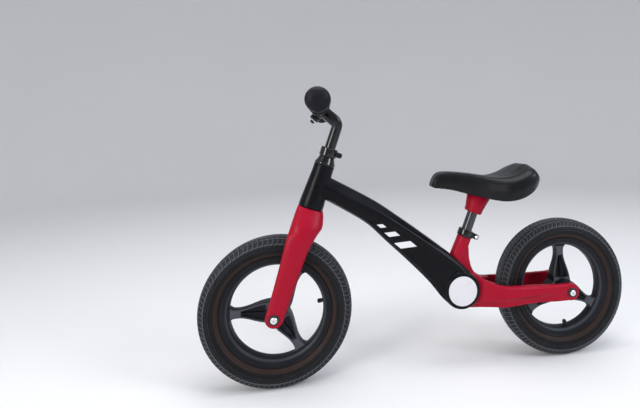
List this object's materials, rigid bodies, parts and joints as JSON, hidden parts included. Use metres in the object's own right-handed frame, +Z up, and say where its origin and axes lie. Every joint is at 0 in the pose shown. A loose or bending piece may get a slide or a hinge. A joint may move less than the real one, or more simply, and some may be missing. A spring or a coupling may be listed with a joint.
{
  "type": "balance bike",
  "caption": "Child's pedal-less balance bike: cast beam frame, turning fork, spoked wheels with air tyres, height-adjustable stem and dished saddle.",
  "frame": {"origin": "on the ground, midway between the wheel hubs, in the bike's middle plane", "axes": "+X forward, +Y to the rider's left, +Z up"},
  "size_m": [0.911, 0.41, 0.5713],
  "materials": {
    "black_casting": "satin black powder coat on cast alloy",
    "red_paint": "satin red powder coat on cast alloy",
    "pale_disc": "plain pale cover disc",
    "pale_print": "plain pale printed bars",
    "zinc_steel": "bright zinc",
    "bearing_steel": "ground steel",
    "black_steel": "black oxide steel",
    "black_gloss": "gloss black paint",
    "grip_rubber": "soft matt rubber",
    "tyre_rubber": "black rubber",
    "tube_rubber": "butyl rubber",
    "wheel_black": "satin moulded wheel",
    "black_plastic": "moulded plastic",
    "saddle_skin": "smooth satin foam skin"
  },
  "bodies": {
    "frame": {"front_frame": "black_casting", "rear_frame": "red_paint", "frame_bolt": "black_steel", "frame_nut": "black_steel", "boss_cap_left": "pale_disc", "boss_cap_right": "pale_disc", "beam_marks": "pale_print", "headset_bearing_lower": "bearing_steel", "headset_bearing_upper": "bearing_steel", "seat_clamp_collar": "black_gloss", "seat_clamp_bolt": "zinc_steel", "seat_clamp_nut": "black_steel", "rear_axle": "bearing_steel", "rear_axle_spacers": "black_steel", "rear_axle_washers": "black_steel", "rear_axle_bolts": "zinc_steel"},
    "steering": {"fork": "red_paint", "crown_race": "bearing_steel", "headset_cap": "black_gloss", "stem_clamp_collar": "black_gloss", "stem_clamp_bolt": "black_steel", "stem_clamp_nut": "black_steel", "front_axle": "bearing_steel", "front_axle_spacers": "black_steel", "front_axle_washers": "black_steel", "front_axle_bolts": "zinc_steel"},
    "handlebar_set": {"stem": "black_gloss", "stem_pinch_bolt": "black_steel", "stem_pinch_washer": "zinc_steel", "handlebar": "black_gloss", "grip_left": "grip_rubber", "grip_right": "grip_rubber"},
    "front_wheel_set": {"front_tyre": "tyre_rubber", "front_inner_tube": "tube_rubber", "front_wheel": "wheel_black", "front_wheel_bearings": "bearing_steel", "front_bearing_spacer": "black_steel", "front_valve_stem": "tube_rubber", "front_valve_cap": "black_plastic"},
    "rear_wheel_set": {"rear_tyre": "tyre_rubber", "rear_inner_tube": "tube_rubber", "rear_wheel": "wheel_black", "rear_wheel_bearings": "bearing_steel", "rear_bearing_spacer": "black_steel", "rear_valve_stem": "tube_rubber", "rear_valve_cap": "black_plastic"},
    "saddle_set": {"seat_post": "black_gloss", "seat_post_plug": "black_plastic", "saddle_bracket": "red_paint", "saddle_base": "black_plastic", "saddle_screws": "zinc_steel", "saddle_pad": "saddle_skin"}
  },
  "joints": [
    {"name": "steering_turn", "type": "hinge", "parent": "frame", "child": "steering", "pos_m": [0.307, 0, 0.1485], "axis": [-0.3256, 0, 0.9455], "continuous": true},
    {"name": "handlebar_height", "type": "slide", "parent": "steering", "child": "handlebar_set", "axis": [-0.3256, 0, 0.9455], "range_m": [-0.04, 0.03]},
    {"name": "front_wheel_spin", "type": "hinge", "parent": "steering", "child": "front_wheel_set", "pos_m": [0.307, 0, 0.1485], "axis": [0, 1, 0], "continuous": true},
    {"name": "rear_wheel_spin", "type": "hinge", "parent": "frame", "child": "rear_wheel_set", "pos_m": [-0.307, 0, 0.1485], "axis": [0, 1, 0], "continuous": true},
    {"name": "saddle_height", "type": "slide", "parent": "frame", "child": "saddle_set", "axis": [-0.3746, 0, 0.9272], "range_m": [-0.03, 0.05]}
  ]
}
